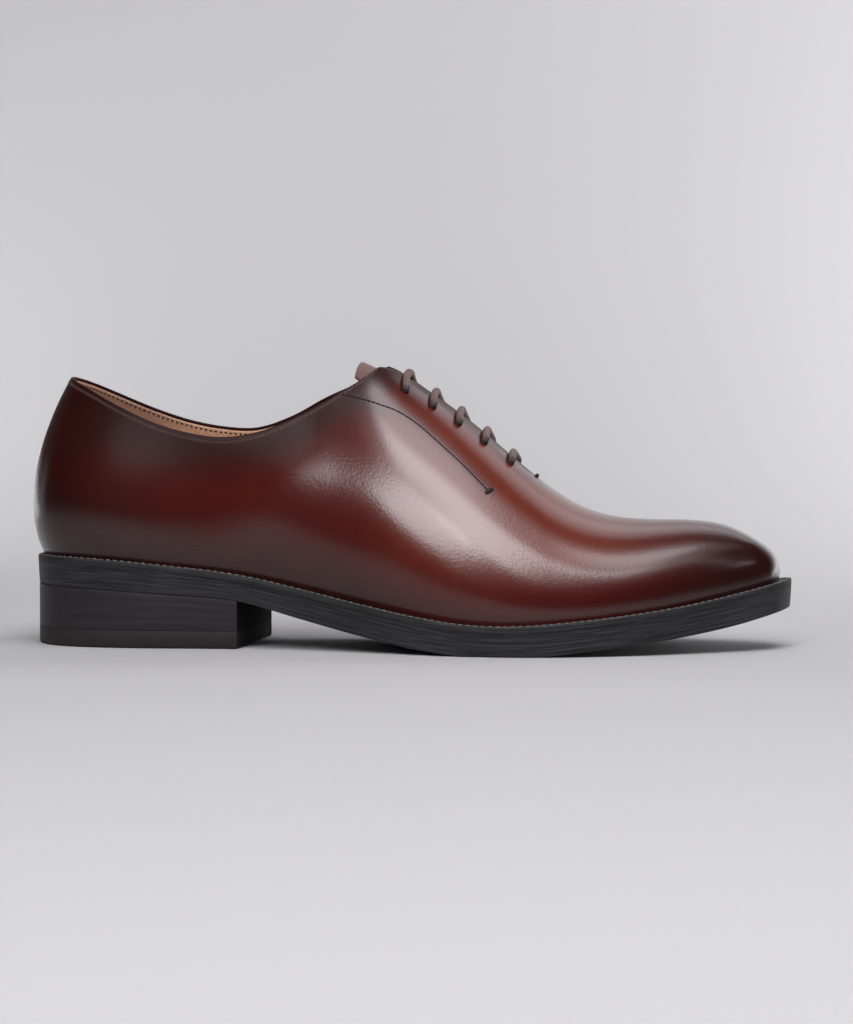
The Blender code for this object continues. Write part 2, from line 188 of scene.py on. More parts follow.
def softbox(name, place, target, size, watts, turn=0.0):
    """Rectangular soft light, aimed at a target or straight down, turned by degrees on its own axis."""
    data = bpy.data.lights.new(name, "AREA")
    data.shape = "RECTANGLE"
    data.size, data.size_y = size
    data.energy = watts
    data.color = LAMP_TINT
    lamp = put(name, data)
    target = target or (*place[:2], 0.0)
    aim = (Vector(target) - Vector(place)).to_track_quat("-Z", "Y").to_matrix().to_4x4()
    lamp.matrix_world = Matrix.Translation(place) @ aim @ Matrix.Rotation(math.radians(turn), 4, "Z")
    return lamp


make_sweep()
softbox("key_softbox", (0.24, -0.87, 1.10), None, (0.56, 0.95), 13.6, -10)
softbox("top_softbox", (0.26, -0.14, 1.10), None, (0.50, 0.47), 2.6, -4)
softbox("key_skirt", (0.22, -0.70, 1.11), None, (1.05, 1.90), 4.0, -4)
softbox("front_card", (-0.36, -1.52, 1.10), (0.03, -0.06, 0.06), (0.92, 0.48), 12.6, 42)
softbox("back_scrim", (0.1, 1.55, 1.75), (0.1, 0.9, 0.0), (2.2, 0.9), 6.0)
softbox("toe_strip", (1.02, -0.41, 1.05), None, (0.86, 0.14), 0.42, -15)
softbox("toe_spark", (1.27, -0.37, 0.74), (0.138, -0.012, 0.035), (0.05, 0.07), 0.16)
softbox("heel_card", (-1.45, 0.50, 0.25), (-0.14, 0.0, 0.06), (0.36, 0.9), 0.35)
for side, watts in ((-1.0, 22.0), (1.0, 54.0)):
    wash = softbox("paper_wash", (1.3 * side, 0.55, 0.35), (0.1 * side, 2.1, 0.7), (0.5, 0.5), watts)
    wash.visible_glossy = False
studio = bpy.data.worlds.new("studio")
studio.use_nodes = True
feed(studio.node_tree.nodes["Background"], {"Color": STUDIO_DIM})
bpy.context.scene.world = studio
bpy.context.scene.view_settings.view_transform = "Standard"


# Upper
# One piece of burnished calf pulled over the last and closed at the heel, so its face is the last's
# own surface: sections from the feather edge on the welt up to the collar, throat or ridge.
MM = 0.001
SHIFT = (-151.4, 3.4, 0.0)
TINY = 1e-9
SEAM_WELD = 0.002
FOOT_GAP = 0.05
LEATHER = 1.2
THROAT_END = 203.0
EDGE_FADE = 1.6
EDGE_STEPS = 7
RUN_STEPS = 60
SEAM_STEPS = 160
SEAM_REACH = 30.0
LAST_COLUMNS = ("sole_x", "sole_out", "sole_in", "margin", "rim_x", "rim_out", "rim_in",
                "rim_z_out", "rim_z_in", "flare", "lean", "tilt", "low", "high")
LAST_ROWS = (
    (0.0, 0.0, 0.0, 2.4, 16.5, 0.0, 0.0, 113.0, 113.0, 27, 33, 0.0, 0.33, 0.30),
    (4.5, -16.0, 16.0, 2.5, 18.5, -9.5, 9.5, 112.0, 112.0, 25, 29, 0.0, 0.33, 0.30),
    (15.0, -27.5, 27.5, 2.8, 25.0, -18.0, 18.0, 109.0, 109.5, 22, 22, 0.0, 0.33, 0.31),
    (33.0, -34.0, 34.0, 3.0, 40.0, -24.5, 24.5, 101.0, 102.0, 20, 15, 0.0, 0.33, 0.32),
    (60.0, -35.2, 35.0, 3.2, 63.0, -28.5, 28.0, 91.0, 94.0, 18, 11, 0.0, 0.33, 0.33),
    (88.0, -34.0, 33.3, 3.4, 87.0, -30.0, 29.5, 88.0, 93.0, 18, 12, 0.0, 0.33, 0.33),
    (114.0, -37.0, 30.5, 3.8, 111.0, -26.0, 25.5, 96.5, 104.5, 17, 24, 0.0, 0.33, 0.30),
    (137.0, -43.5, 31.0, 4.2, 132.0, -14.0, 17.0, 108.0, 112.5, 16, 48, 0.0, 0.33, 0.28),
    (153.0, -48.5, 34.5, 4.5, 145.0, -4.0, 9.4, 112.0, 112.6, 15, 65, -0.2, 0.33, 0.28),
    (168.0, -53.0, 39.5, 4.7, 159.0, 0.8, 4.6, 104.2, 104.2, 14, 76, -0.6, 0.33, 0.28),
    (190.0, -56.8, 46.5, 4.8, 180.0, 1.7, 3.4, 89.0, 89.0, 13, 82, -0.75, 0.33, 0.29),
    (214.0, -55.6, 50.0, 4.9, 203.0, 2.6, 2.6, 69.6, 69.6, 11, 90, -0.80, 0.33, 0.32),
    (238.0, -49.2, 48.0, 5.0, 225.0, 2.6, 2.6, 55.4, 55.4, 9, 90, -0.45, 0.34, 0.40),
    (260.0, -40.0, 42.0, 5.0, 246.0, 3.0, 3.0, 51.2, 51.2, 8, 90, -0.08, 0.36, 0.47),
    (279.0, -29.8, 34.4, 5.0, 262.0, 3.4, 3.4, 50.9, 50.9, 8, 90, 0.0, 0.37, 0.48),
    (293.2, -20.3, 27.5, 5.0, 274.0, 3.9, 3.9, 50.1, 50.1, 7, 90, -0.17, 0.38, 0.49),
    (302.0, -11.5, 20.3, 4.9, 281.0, 4.2, 4.2, 48.6, 48.6, 7, 90, -0.40, 0.41, 0.53),
    (306.4, 4.4, 4.4, 4.8, 284.0, 4.4, 4.4, 47.4, 47.4, 7, 90, -0.50, 0.42, 0.55),
)
# Length, height of the tread and height of the welt's top
PROFILE_ROWS = (
    (0.0, 24.6, 36.3), (30.0, 23.3, 35.3), (60.0, 21.4, 32.8), (90.0, 18.9, 29.2),
    (115.0, 12.6, 24.1), (140.0, 6.7, 18.8), (165.0, 1.9, 14.2), (182.0, -0.1, 12.0),
    (195.0, -0.5, 11.5), (210.0, -0.1, 12.0), (225.0, 1.5, 13.3), (245.0, 3.8, 15.6),
    (265.0, 6.9, 18.6), (285.0, 10.9, 22.8), (307.0, 16.9, 28.1),
)
# Length, height of the collar line on the outer side and on the inner side
COLLAR_ROWS = (
    (10.0, 110.8, 110.8), (14.0, 109.0, 109.0), (25.0, 104.0, 103.8), (40.0, 96.3, 97.2),
    (55.0, 89.6, 92.0), (70.0, 85.4, 88.9), (85.0, 83.8, 88.4), (100.0, 86.5, 93.3),
    (115.0, 93.3, 101.0), (130.0, 102.4, 107.0), (138.0, 108.2, 110.0), (142.0, 112.0, 112.5),
    (146.0, 118.0, 118.0), (160.0, 140.0, 140.0),
)
# Facing seam: place along the loop of sections, and share of the wall's height
SEAM_ROWS = (
    (32.51, 0.8887), (35.07, 0.7959), (37.76, 0.7418), (39.90, 0.7247), (41.73, 0.7008),
    (43.36, 0.6645), (44.86, 0.6253), (46.26, 0.5780), (46.74, 0.5584),
)


def unit(vectors):
    """Each vector brought to a length of one."""
    return vectors / np.linalg.norm(vectors, axis=-1, keepdims=True)


def run_along(points):
    """Length along a line up to each of its points."""
    return np.concatenate([[0.0], np.linalg.norm(np.diff(points, axis=0), axis=1).cumsum()])


def hermite(knots, values, slopes, t):
    """Cubic pieces through the knots with given slopes: value and rate of change at t."""
    i = np.clip(np.searchsorted(knots, t, side="right") - 1, 0, len(knots) - 2)
    h = (knots[i + 1] - knots[i])[:, None]
    f = (t - knots[i])[:, None] / h
    a, b = values[i], values[i + 1]
    p, q = slopes[i] * h, slopes[i + 1] * h
    bend = 3 * (b - a) - 2 * p - q
    twist = 2 * (a - b) + p + q
    return a + f * (p + f * (bend + f * twist)), (p + f * (2 * bend + 3 * f * twist)) / h


def line_table(rows, x):
    """Smooth curves through a table whose first column is x; one result column for each other."""
    table = np.array(rows, float)
    knots, values = table[:, 0], table[:, 1:]
    slopes = np.gradient(values, knots, axis=0)
    x = np.clip(np.asarray(x, float).ravel(), knots[0], knots[-1])
    return hermite(knots, values, slopes, x)[0]


def tread_height(x):
    """Height of the underside of the sole, held at the floor under the ball."""
    return np.maximum(line_table(PROFILE_ROWS, x)[:, 0], 0.0).reshape(np.shape(x))


def welt_height(x):
    """Height of the top of the welt."""
    return line_table(PROFILE_ROWS, x)[:, 1].reshape(np.shape(x))


def loop_slopes(knots, values):
    """Slopes of the smoothest closed curve through the values, from one cyclic linear system."""
    inverse = 1.0 / np.diff(knots)
    before = np.roll(inverse, 1)
    count = len(inverse)
    here = np.arange(count)
    matrix = np.zeros((count, count))
    matrix[here, here - 1] = before
    matrix[here, here] = 2 * (before + inverse)
    matrix[here, (here + 1) % count] = inverse
    rate = np.diff(values, axis=0) * (inverse ** 2)[:, None]
    slopes = np.linalg.solve(matrix, 3 * (rate + np.roll(rate, 1, axis=0)))
    return np.vstack([slopes, slopes[:1]])


def last_loop():
    """Closed loop of sections, outer side heel to toe and inner side back, spaced by root of chord."""
    table = np.array(LAST_ROWS, float)
    shared = ["sole_x", "margin", "rim_x", "flare", "lean", "tilt", "low", "high"]
    own_columns = ["sole_out", "rim_out", "rim_z_out"], ["sole_in", "rim_in", "rim_z_in"]
    outer, inner = (table[:, [LAST_COLUMNS.index(c) for c in shared + own]] for own in own_columns)
    step = sum(0.5 * np.sqrt(np.hypot(*np.diff(side[:, [0, 8]], axis=0).T)) for side in (outer, inner))
    along = np.concatenate([[0.0], np.cumsum(step)])
    knots = np.concatenate([along, 2 * along[-1] - along[-2::-1]])
    return knots, np.vstack([outer, inner[-2:0:-1], outer[:1]]), along


KNOTS, VALUES, ALONG = last_loop()
SLOPES = loop_slopes(KNOTS, VALUES)
TOE = ALONG[-1]


def outline(t, inset):
    """Plan outline of the sole moved inwards, its outward direction, and the table's values."""
    value, speed = hermite(KNOTS, VALUES, SLOPES, np.mod(np.asarray(t, float), 2 * TOE))
    tangent = unit(speed[:, [0, 8]])
    outward = np.stack([tangent[:, 1], -tangent[:, 0]], 1)
    return value[:, [0, 8]] - outward * np.reshape(inset, (-1, 1)), outward, value


def ribs(t):
    """Four control points of each wall section: foot, flare above it, lean below the rim, rim."""
    plan, outward, value = outline(t, 0.0)
    margin, rim_x, flare, lean, tilt, low, high = value[:, 1:8].T
    foot_plan = plan - outward * margin[:, None]
    foot = np.column_stack([foot_plan, welt_height(foot_plan[:, 0]) + FOOT_GAP])
    rim = np.column_stack([rim_x, value[:, 9], value[:, 10]])
    reach = np.linalg.norm(rim - foot, axis=1)[:, None]
    flare = np.radians(flare)[:, None]
    lean = np.radians(np.clip(lean, 0, 90))[:, None]
    rising = np.hstack([outward * np.sin(flare), np.cos(flare)])
    drop = (tilt * outward[:, 0])[:, None] * np.sin(lean) - np.cos(lean)
    falling = unit(np.hstack([outward * np.sin(lean), drop]))
    return foot, foot + rising * reach * low[:, None], rim + falling * reach * high[:, None], rim


def wall(t, v):
    """Point of the upper's face: the cubic through the section's control points at share v."""
    a, b, c, d = ribs(np.atleast_1d(t))
    v = np.reshape(v, (-1, 1))
    w = 1 - v
    return w ** 3 * a + 3 * w * w * v * b + 3 * w * v * v * c + v ** 3 * d


def wall_frame(t, v):
    """Outward direction, and direction and speed up the wall, from small differences."""
    e = 1e-3
    v = np.clip(v, e, 1 - e)
    along = wall(t + e, v) - wall(t - e, v)
    up = (wall(t, v + e) - wall(t, v - e)) / (2 * e)
    return unit(np.cross(along, up)), unit(up), np.linalg.norm(up, axis=1)


def rim_share(t):
    """Height share at which each section meets the collar line, by halving; 1 if it ends below."""
    side = np.where(np.mod(t, 2 * TOE) > TOE, 1, 0)
    low = np.full(len(t), 0.3)
    high = np.ones(len(t))
    for _ in range(40):
        middle = 0.5 * (low + high)
        point = wall(t, middle)
        above = point[:, 2] > line_table(COLLAR_ROWS, point[:, 0])[np.arange(len(t)), side]
        high = np.where(above, middle, high)
        low = np.where(above, low, middle)
    return high


def place_at_ridge(x):
    """Loop place, on the outer side, of the section that ends at length x of the ridge."""
    t = np.linspace(ALONG[6], TOE, 600)
    return np.interp(x, outline(t, 0.0)[2][:, 2], t)


def share_below_rim(t, distance):
    """Height share of the point a given distance down the wall from the rim line."""
    _, _, c, d = ribs(t)
    return 1 - distance / (3 * np.linalg.norm(c - d, axis=1))


def both_sides(t):
    """Loop places of the outer side and back along the inner side, without repeats."""
    return np.concatenate([t, 2 * TOE - t[-2:0:-1]])


def nearest(points, line):
    """Distance from each point to the closest point of a dense line."""
    return np.linalg.norm(points[:, None] - line[None], axis=2).min(axis=1)


JOINED = place_at_ridge(THROAT_END)
SIDE = np.concatenate([np.linspace(0, JOINED, 116), np.linspace(JOINED, TOE, 58)[1:]])
LOOP = both_sides(SIDE)
CLOSED = np.minimum(LOOP, 2 * TOE - LOOP) >= JOINED - TINY


def wall_shell(outer_depth, inner_depth, outer_rows, inner_rows, edge_drop=0.0):
    """Closed shell between two depths under the face: up the outside, over a round edge, down inside.

    The edge is a half circle on the shell's thickness. Past the throat both sides share the ridge.
    Returns the points row by row, the quads, and each row's shares of the wall's height.
    """
    count = len(LOOP)
    half = 0.5 * (inner_depth - outer_depth)
    open_edge = np.clip((JOINED - np.minimum(LOOP, 2 * TOE - LOOP)) / EDGE_FADE, 0, 1)
    share = rim_share(LOOP)
    end = share - open_edge * (edge_drop + half) / wall_frame(LOOP, share)[2]
    angle = np.linspace(0, math.pi, EDGE_STEPS + 2)[1:-1]
    rows, depths = (outer_rows, inner_rows), (outer_depth, inner_depth)
    climb = [np.linspace(0, 1, outer_rows), np.ones(EDGE_STEPS), np.linspace(1, 0, inner_rows)]
    depth = np.pad(outer_depth + half * (1 - np.cos(angle)), rows, constant_values=depths)
    lift = np.pad(half * np.sin(angle), rows)
    shares = np.outer(np.concatenate(climb), end)
    place = np.tile(LOOP, len(shares))
    normal, up, _ = wall_frame(place, shares.ravel())
    inwards = np.repeat(depth, count)[:, None]
    upwards = np.outer(lift, open_edge).reshape(-1, 1)
    points = wall(place, shares.ravel()) - normal * inwards + up * upwards
    index = np.arange(len(points)).reshape(-1, count)
    first, last = outer_rows - 1, outer_rows + EDGE_STEPS
    joined = np.arange(len(SIDE), count)
    joined = joined[CLOSED[count - joined]]
    index[first:last + 1, joined] = index[first:last + 1, count - joined]
    quads = grid_faces(len(shares) + 1, count, closed=True) % len(points)
    row, column = np.divmod(quads[:, 0], count)
    shut = CLOSED[column] & CLOSED[(column + 1) % count] & (row >= first) & (row < last)
    return points, index.ravel()[quads[~shut]], shares


def edge_distances(shares):
    """Distance of each point of the face from the open rim, up the wall from the foot, and from the seam.

    The one from the foot adds up chords of the section. The one from the seam ends at its reach.
    """
    face = wall(np.tile(LOOP, len(shares)), shares.ravel()).reshape(*shares.shape, 3)
    rim_line = wall(LOOP[~CLOSED], rim_share(LOOP[~CLOSED]))
    rim = np.array([nearest(row, rim_line) for row in face])
    climb = np.linspace(0, 1, RUN_STEPS)
    sections = wall(np.repeat(LOOP, RUN_STEPS), np.tile(climb, len(LOOP))).reshape(-1, RUN_STEPS, 3)
    foot = [np.interp(share, climb, run_along(line)) for share, line in zip(shares.T, sections)]
    seam_t = np.linspace(SEAM_ROWS[0][0], SEAM_ROWS[-1][0], SEAM_STEPS)
    seam_v = line_table(SEAM_ROWS, seam_t)[:, 0]
    seam = np.empty(shares.shape)
    for inner in (False, True):
        line = wall(2 * TOE - seam_t if inner else seam_t, seam_v)
        near = (LOOP > TOE) == inner
        seam[:, near] = [nearest(row, line) for row in face[:, near]]
    return rim.ravel(), np.array(foot).T.ravel(), np.minimum(seam, SEAM_REACH).ravel()


def make_piece(name, points, faces, material, corner_maps=None, sharp=None):
    """Smooth mesh object on the body, from millimetre points, faces and pairs of map values per point.

    An array of quads loses the points that no quad uses. Where an angle in degrees is given as sharp,
    seams are closed and edges past that angle stay crisp.
    """
    maps = corner_maps or {}
    if isinstance(faces, np.ndarray):
        used, corners = np.unique(faces, return_inverse=True)
        faces = corners.reshape(-1, 4).tolist()
        points = points[used]
        maps = {label: values[used] for label, values in maps.items()}
    mesh = smooth_mesh(name, (points + SHIFT) * MM, faces, material)
    corner = np.empty(len(mesh.loops), np.int32)
    mesh.loops.foreach_get("vertex_index", corner)
    for label, values in maps.items():
        layer = mesh.uv_layers.new(name=label)
        layer.data.foreach_set("uv", values[corner].astype(np.float32).ravel())
    if sharp is not None:
        shape = bmesh.new()
        shape.from_mesh(mesh)
        bmesh.ops.remove_doubles(shape, verts=shape.verts, dist=SEAM_WELD * MM)
        bmesh.ops.recalc_face_normals(shape, faces=shape.faces)
        shape.to_mesh(mesh)
        shape.free()
        mesh.set_sharp_from_angle(angle=math.radians(sharp))
    piece = put(name, mesh)
    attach(piece, "root")
    return piece


def new_group(name, inputs, outputs):
    """Shader node group with named inputs and value outputs: its tree, input values and output node."""
    tree = bpy.data.node_groups.new(name, "ShaderNodeTree")
    for label, kind in inputs.items():
        tree.interface.new_socket(label, in_out="INPUT", socket_type=kind)
    for label in outputs:
        tree.interface.new_socket(label, in_out="OUTPUT", socket_type="NodeSocketFloat")
    source = tree.nodes.new("NodeGroupInput")
    return tree, [Value(source.outputs[label]) for label in inputs], tree.nodes.new("NodeGroupOutput")


def grain_group():
    """Leather grain: small cells with softer swells between them, as a height and a pore mask."""
    sockets = {"Vector": "NodeSocketVector", "Scale": "NodeSocketFloat"}
    tree, (place, scale), result = new_group("leather_grain", sockets, ("Height", "Pores"))
    _, wobble = add_node(tree, "ShaderNodeTexNoise", {"Vector": place, "Scale": scale * 0.4})
    bent = add_node(tree, "ShaderNodeVectorMath", {0: wobble, "Scale": 0.0006}, operation="SCALE")[0]
    moved = add_node(tree, "ShaderNodeVectorMath", {0: place, 1: bent}, operation="ADD")[0]
    distance = add_node(tree, "ShaderNodeTexVoronoi", {"Vector": moved, "Scale": scale})[0]
    swell = noise(place, scale * 0.35, 3.0)
    feed(result, {"Height": (1.0 - distance) * 0.5 + swell * 0.5, "Pores": fade(distance, 0.45, 0.75)})
    return tree


GRAIN = grain_group()


def grain(place, scale):
    """Place the grain group in a material; returns its height and pores."""
    return add_node(place.tree, "ShaderNodeGroup", {"Vector": place, "Scale": scale}, node_tree=GRAIN)


def bump(height, depth):
    """Normal bent by a height; depth is in metres for a height of one."""
    inputs = {"Height": height, "Distance": depth, "Strength": 1.0}
    return add_node(height.tree, "ShaderNodeBump", inputs)[0]


def own_map(place, name):
    """One of the piece's own corner maps, as a vector."""
    return add_node(place.tree, "ShaderNodeUVMap", {}, uv_map=name)[0]


def split(vector):
    """The X, Y and Z of a vector."""
    return add_node(vector.tree, "ShaderNodeSeparateXYZ", {0: vector})


UPPER_BRIGHT = (0.112, 0.0150, 0.0052, 1.0)
UPPER_MID = (0.066, 0.0056, 0.0026, 1.0)
UPPER_DARK = (0.019, 0.0038, 0.0032, 1.0)


def upper_material():
    """Burnished calf: bright red-brown where rubbed, dark at toe, heel, collar, seam and welt.

    A coat of wax carries the gloss, thin round the collar and gone at its edge.
    """
    material, shader, place = new_material("burnished_calf")
    x = split(place)[0]
    rim, foot, _ = split(own_map(place, "edges"))
    seam = split(own_map(place, "seams"))[0]
    toe_dark = fade(x, 0.06, 0.148) * 0.95
    heel_dark = fade(x, -0.06, -0.152) * 0.85
    collar_dark = fade(rim, 26.0, 1.0) * 0.85
    foot_dark = fade(foot, 32.0, 2.0) * 0.68
    seam_dark = fade(seam, 7.0, 0.0) * 0.45
    quarter_dark = fade(x, 0.035, -0.03) * 0.5
    clear = 1.0 - toe_dark
    for mask in (heel_dark, collar_dark, foot_dark, seam_dark, quarter_dark):
        clear = clear * (1.0 - mask)
    clear = clear + (noise(place, 26.0, 4.0, 0.55) - 0.5) * 0.35
    low = mix_colours(fade(clear, 0.0, 0.55), UPPER_DARK, UPPER_MID)
    colour = mix_colours(fade(clear, 0.4, 1.0), low, UPPER_BRIGHT)
    height, pores = grain(place, 1300.0)
    reach = rim - fade(x, -0.03, -0.08) * 12.0
    matt_collar = fade(reach, 36.0, 16.0) * fade(x, -0.01, -0.03)
    matt = calc("MAXIMUM", matt_collar * 0.93, fade(rim, 9.0, 2.0) * 0.6)
    groove = fade(seam, 0.9, 0.15) * -15.0
    crease = grain(place, 1100.0)[0] * 5.0
    feed(shader, {
        "Base Color": mix_colours(pores * 0.08, colour, UPPER_DARK),
        "Roughness": matt * 0.2 + 0.33,
        "Specular IOR Level": 0.06,
        "Coat Weight": 1.0 - matt,
        "Coat Roughness": 0.21,
        "Coat IOR": 1.58,
        "Coat Normal": bump(noise(place, 900.0, 3.0), 0.000045),
        "Normal": bump(height + crease + groove, 0.000008),
    })
    return material


EYELET_X = (153.6, 164.6, 174.9, 185.2, 195.7)
EYELET_FROM_EDGE = 12.0
EYELET_RADIUS = 1.75
PUNCH_LENGTH = 9.0
PUNCH_SHARP = 50


def eyelet_frames():
    """Place, share, point and outward direction of the eyelets, outer side then inner side."""
    search = np.linspace(ALONG[7], ALONG[12], 400)
    frames = []
    for t in (search, 2 * TOE - search):
        line = wall(t, share_below_rim(t, EYELET_FROM_EDGE))[:, 0]
        place = np.interp(EYELET_X, line, t)
        v = share_below_rim(place, EYELET_FROM_EDGE)
        frames.append((place, v, wall(place, v), wall_frame(place, v)[0]))
    return frames


EYELETS = eyelet_frames()


def punch_eyelets(piece):
    """Cut the ten round lace holes through a shell and keep the result as its mesh."""
    shape = bmesh.new()
    for _, _, points, normals in EYELETS:
        for point, normal in zip(points, normals):
            turn = Vector(normal).to_track_quat("Z", "Y").to_matrix().to_4x4()
            centre = Vector((point + SHIFT) * MM)
            bmesh.ops.create_cone(shape, cap_ends=True, segments=20, depth=PUNCH_LENGTH * MM,
                                  radius1=EYELET_RADIUS * MM, radius2=EYELET_RADIUS * MM,
                                  matrix=Matrix.Translation(centre) @ turn)
    mesh = bpy.data.meshes.new("eyelet_punch")
    shape.to_mesh(mesh)
    shape.free()
    punch = put("eyelet_punch", mesh)
    modifier = piece.modifiers.new("eyelets", "BOOLEAN")
    modifier.operation = "DIFFERENCE"
    modifier.solver = "EXACT"
    modifier.object = punch
    result = bpy.data.meshes.new_from_object(piece.evaluated_get(bpy.context.evaluated_depsgraph_get()))
    piece.modifiers.clear()
    piece.data = result
    bpy.data.objects.remove(punch, do_unlink=True)
    result.set_sharp_from_angle(angle=math.radians(PUNCH_SHARP))


points, quads, shares = wall_shell(0.0, LEATHER, outer_rows=64, inner_rows=20)
rim, foot, seam = edge_distances(shares)
upper = make_piece("upper_leather", points, quads, upper_material(),
                   {"edges": np.column_stack([rim, foot]), "seams": np.column_stack([seam, seam])})
punch_eyelets(upper)
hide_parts("upper")


# Lining
# Tan vegetable-tanned leather, glued inside the upper, darkened towards the heel by painted shade
# where the inside of the shoe lies in shadow, and trimmed just under the collar's edge.
LINING = 0.8
WALL = LEATHER + LINING
LINING_DROP = 1.2
LINING_LIGHT = (0.70, 0.42, 0.26, 1.0)
LINING_DARK = (0.36, 0.18, 0.10, 1.0)
# Colour of the painted shade inside the heel of the shoe
LINING_HEEL_SHADE = (0.24, 0.135, 0.095, 1.0)


def lining_material():
    """Soft tan leather with a fine grain, darker handling marks and painted shade towards the heel."""
    material, shader, place = new_material("tan_lining")
    height, pores = grain(place, 1600.0)
    stain = fade(noise(place, 40.0, 4.0), 0.3, 0.75) * 0.35
    colour = mix_colours(stain + pores * 0.5, LINING_LIGHT, LINING_DARK)
    # Painted shade: darker towards the heel, where the inside of the shoe lies in shadow.
    heel_shade = fade(split(place)[0], -0.075, -0.12) * 0.75
    colour = mix_colours(heel_shade, colour, LINING_HEEL_SHADE)
    feed(shader, {"Base Color": colour, "Roughness": height * 0.2 + 0.5, "Normal": bump(height, 0.0001)})
    return material


points, quads, _ = wall_shell(LEATHER, WALL, outer_rows=30, inner_rows=30, edge_drop=LINING_DROP)
lining = make_piece("lining", points, quads, lining_material())
punch_eyelets(lining)


# Facing seam, topline and tacks
# Lockstitched rows of waxed brown thread: one in the lining under the collar and one down each
# facing, ending in a short thick tack; another tack crosses the foot of the throat. Slanted
# overcast stitches of lighter thread hold the edge of the topline.
TOPLINE_DROP = 2.3
LINING_ROW_DROP = 2.4
# Pitch, length and radius of the stitches, rise of their middles and sink of their ends
SEAM_STITCH = (2.1, 2.058, 0.29, 0.16, 0.06)
LINING_STITCH = (2.1, 1.26, 0.29, 0.16, 0.06)
TOPLINE_STITCH = (1.05, 1.7, 0.18, 0.08, 0.1)
FACING_TACK = (9.0, 4.9, 0.85, 0.75, 0.35)
THROAT_TACK = (9.0, 5.0, 0.85, 0.6, 0.1)
TOPLINE_SLANT = math.radians(55)
TACK_PLACES = (46.476, 47.317)
TACK_SHARES = (0.5255, 0.590)
TACK_PAST_THROAT = 2.0
THREAD_LIGHT = (0.040, 0.025, 0.021, 1.0)
THREAD_DARK = (0.010, 0.006, 0.0055, 1.0)
TOPLINE_LIGHT = (0.17, 0.12, 0.105, 1.0)
TOPLINE_DARK = (0.05, 0.034, 0.030, 1.0)


def thread_material(name, light, dark):
    """Waxed thread: fine twist and uneven dye."""
    material, shader, place = new_material(name)
    twist = noise(place, 4200.0, 1.0)
    feed(shader, {
        "Base Color": mix_colours(noise(place, 900.0, 2.0), dark, light),
        "Roughness": twist * 0.2 + 0.68,
        "Specular IOR Level": 0.3,
        "Normal": bump(twist, 0.0001),
    })
    return material


def stitch_row(points, along, up, length, radius, rise, sink):
    """Stitches as short tubes: a circle carried along a low arch whose ends dip into the leather.

    Centre at s from -1 to 1: half the length times s along, rise times (1 - s squared) less sink up.
    """
    s = np.array([-1.0, -0.88, -0.5, 0.0, 0.5, 0.88, 1.0])
    swell = np.array([0.3, 0.8, 1.0, 1.05, 1.0, 0.8, 0.3])
    angle = np.linspace(0, 2 * math.pi, 6, endpoint=False)
    side = np.cross(up, along)
    centre = (points[:, None] + along[:, None] * (0.5 * length * s)[:, None]
              + up[:, None] * (rise * (1 - s * s) - sink)[:, None])
    circle = side[:, None, None] * np.cos(angle)[:, None] + up[:, None, None] * np.sin(angle)[:, None]
    ring = centre[:, :, None] + circle * (radius * swell)[:, None, None]
    count, rings, around = ring.shape[:3]
    quads = grid_faces(rings, around, closed=True)
    start = (np.arange(count) * rings * around)[:, None, None]
    quads = (start + quads[None]).reshape(-1, 4)
    cap = np.arange(around)
    first = (start[:, 0] + cap[::-1][None])
    last = (start[:, 0] + (rings - 1) * around + cap[None])
    return ring.reshape(-1, 3), quads.tolist() + first.tolist() + last.tolist()


def join_rows(rows):
    """Several point and face lists as one."""
    points, faces, start = [], [], 0
    for row_points, row_faces in rows:
        points.append(row_points)
        faces += [[i + start for i in f] for f in row_faces]
        start += len(row_points)
    return np.vstack(points), faces


def spaced(points, pitch):
    """Positions along a dense line, a pitch apart, as fractional places in the line."""
    run = run_along(points)
    count = max(int(run[-1] / pitch), 1)
    wanted = (np.arange(count) + 0.5) * run[-1] / count
    return np.interp(wanted, run, np.arange(len(points)))


def sample(line, at):
    """Columns of a dense line at fractional places in it."""
    number = np.arange(len(line))
    return np.stack([np.interp(at, number, column) for column in line.T], 1)


def wall_row(t, v, pitch, length, radius, rise, sink, slant=0.0, depth=0.0):
    """A row of stitches along the line of places t and shares v, each turned by the slant.

    They lie on the upper's face, or on the lining's face when a depth under the upper's is given.
    """
    line = np.column_stack([t, v])
    at = spaced(wall(t, v), pitch)
    place, share = sample(line, at).T
    along = wall(*sample(line, at + 0.2).T) - wall(*sample(line, at - 0.2).T)
    normal = wall_frame(place, share)[0]
    up = -normal if depth else normal
    along = unit(along - up * (along * up).sum(1)[:, None])
    along = along * math.cos(slant) + np.cross(up, along) * math.sin(slant)
    return stitch_row(wall(place, share) - normal * depth, along, up, length, radius, rise, sink)


def side_rows(t, v, sizes):
    """The same row on the outer and on the inner side."""
    return [wall_row(t, v, *sizes), wall_row(2 * TOE - t, v, *sizes)]


seam_t = np.linspace(SEAM_ROWS[0][0], SEAM_ROWS[-1][0], 400)
seam_v = line_table(SEAM_ROWS, seam_t)[:, 0]
corner_t = np.linspace(ALONG[6], ALONG[10], 400)
corner_t = corner_t[np.argmax(rim_share(corner_t) > 0.9999)]
collar_t = np.linspace(-corner_t, corner_t, 900)
collar_rim = rim_share(collar_t)
collar_speed = wall_frame(collar_t, collar_rim)[2]
throat_t = np.full(1, place_at_ridge(THROAT_END + TACK_PAST_THROAT))
thread_rows = side_rows(seam_t, seam_v, SEAM_STITCH)
lining_v = collar_rim - LINING_ROW_DROP / collar_speed
thread_rows.append(wall_row(collar_t, lining_v, *LINING_STITCH, depth=WALL))
thread_rows += side_rows(np.linspace(*TACK_PLACES, 20), np.linspace(*TACK_SHARES, 20), FACING_TACK)
thread_rows.append(stitch_row(wall(throat_t, np.ones(1)), np.array([[0.0, 1.0, 0.0]]),
                              wall_frame(throat_t, np.ones(1))[0], *THROAT_TACK[1:]))
points, faces = join_rows(thread_rows)
